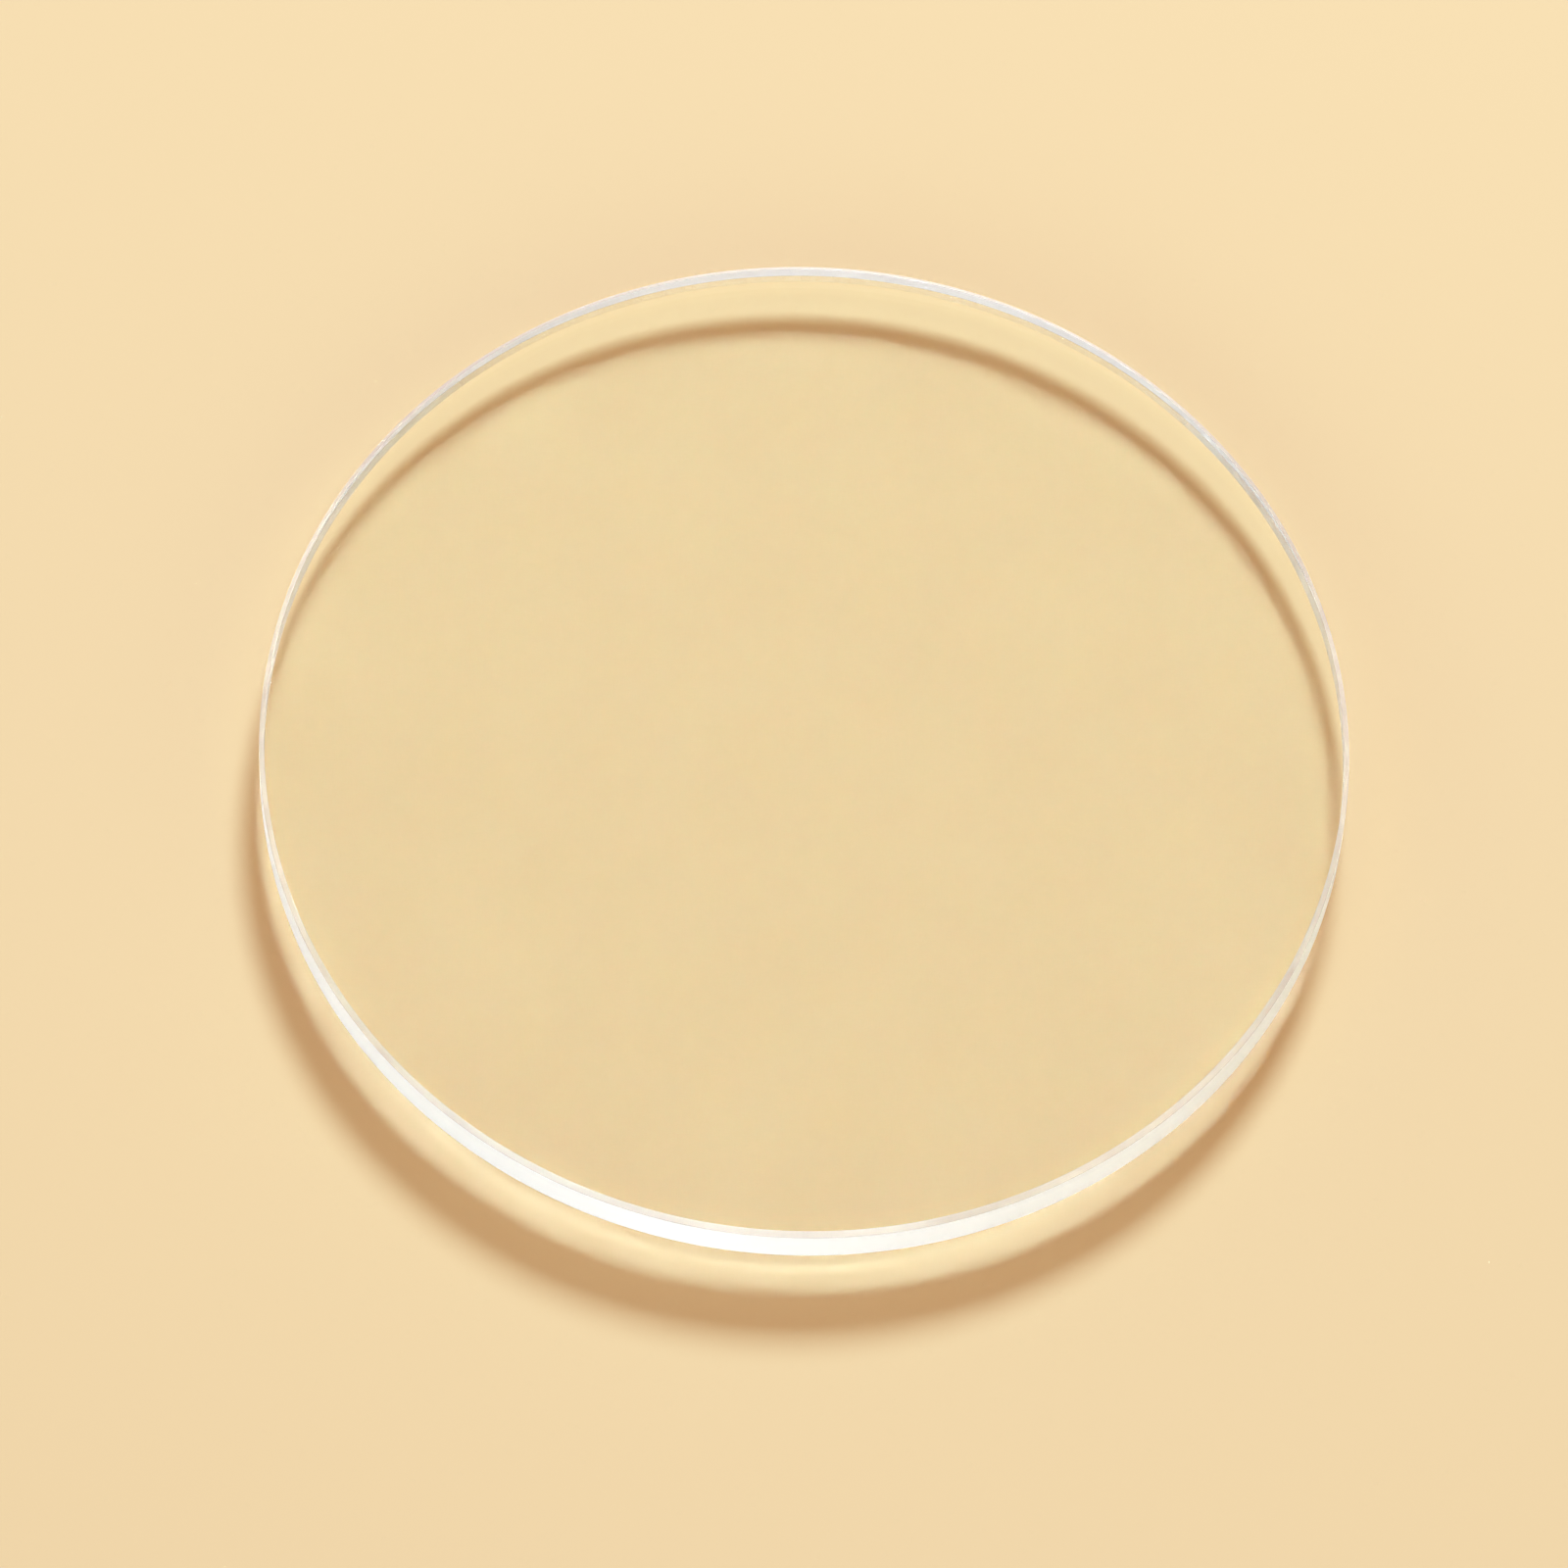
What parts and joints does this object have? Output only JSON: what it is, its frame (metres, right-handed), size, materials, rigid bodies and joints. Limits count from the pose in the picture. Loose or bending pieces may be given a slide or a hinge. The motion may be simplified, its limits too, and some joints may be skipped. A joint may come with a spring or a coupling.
{
  "type": "watch crystal",
  "caption": "Flat round clear watch crystal with polished parallel faces, a finely ground edge wall and narrow polished bevels, to press into a watch case.",
  "frame": {"origin": "centre of the crystal's underside, the flat face that looks at the dial", "axes": "+Z along the crystal's axis, out of the watch; X and Y lie in the underside in any direction, because the crystal is round"},
  "size_m": [0.032, 0.032, 0.0015],
  "materials": {
    "clear_crystal": "polished faces and bevels, finely ground wall"
  },
  "bodies": {
    "root": {"crystal": "clear_crystal"}
  },
  "joints": []
}
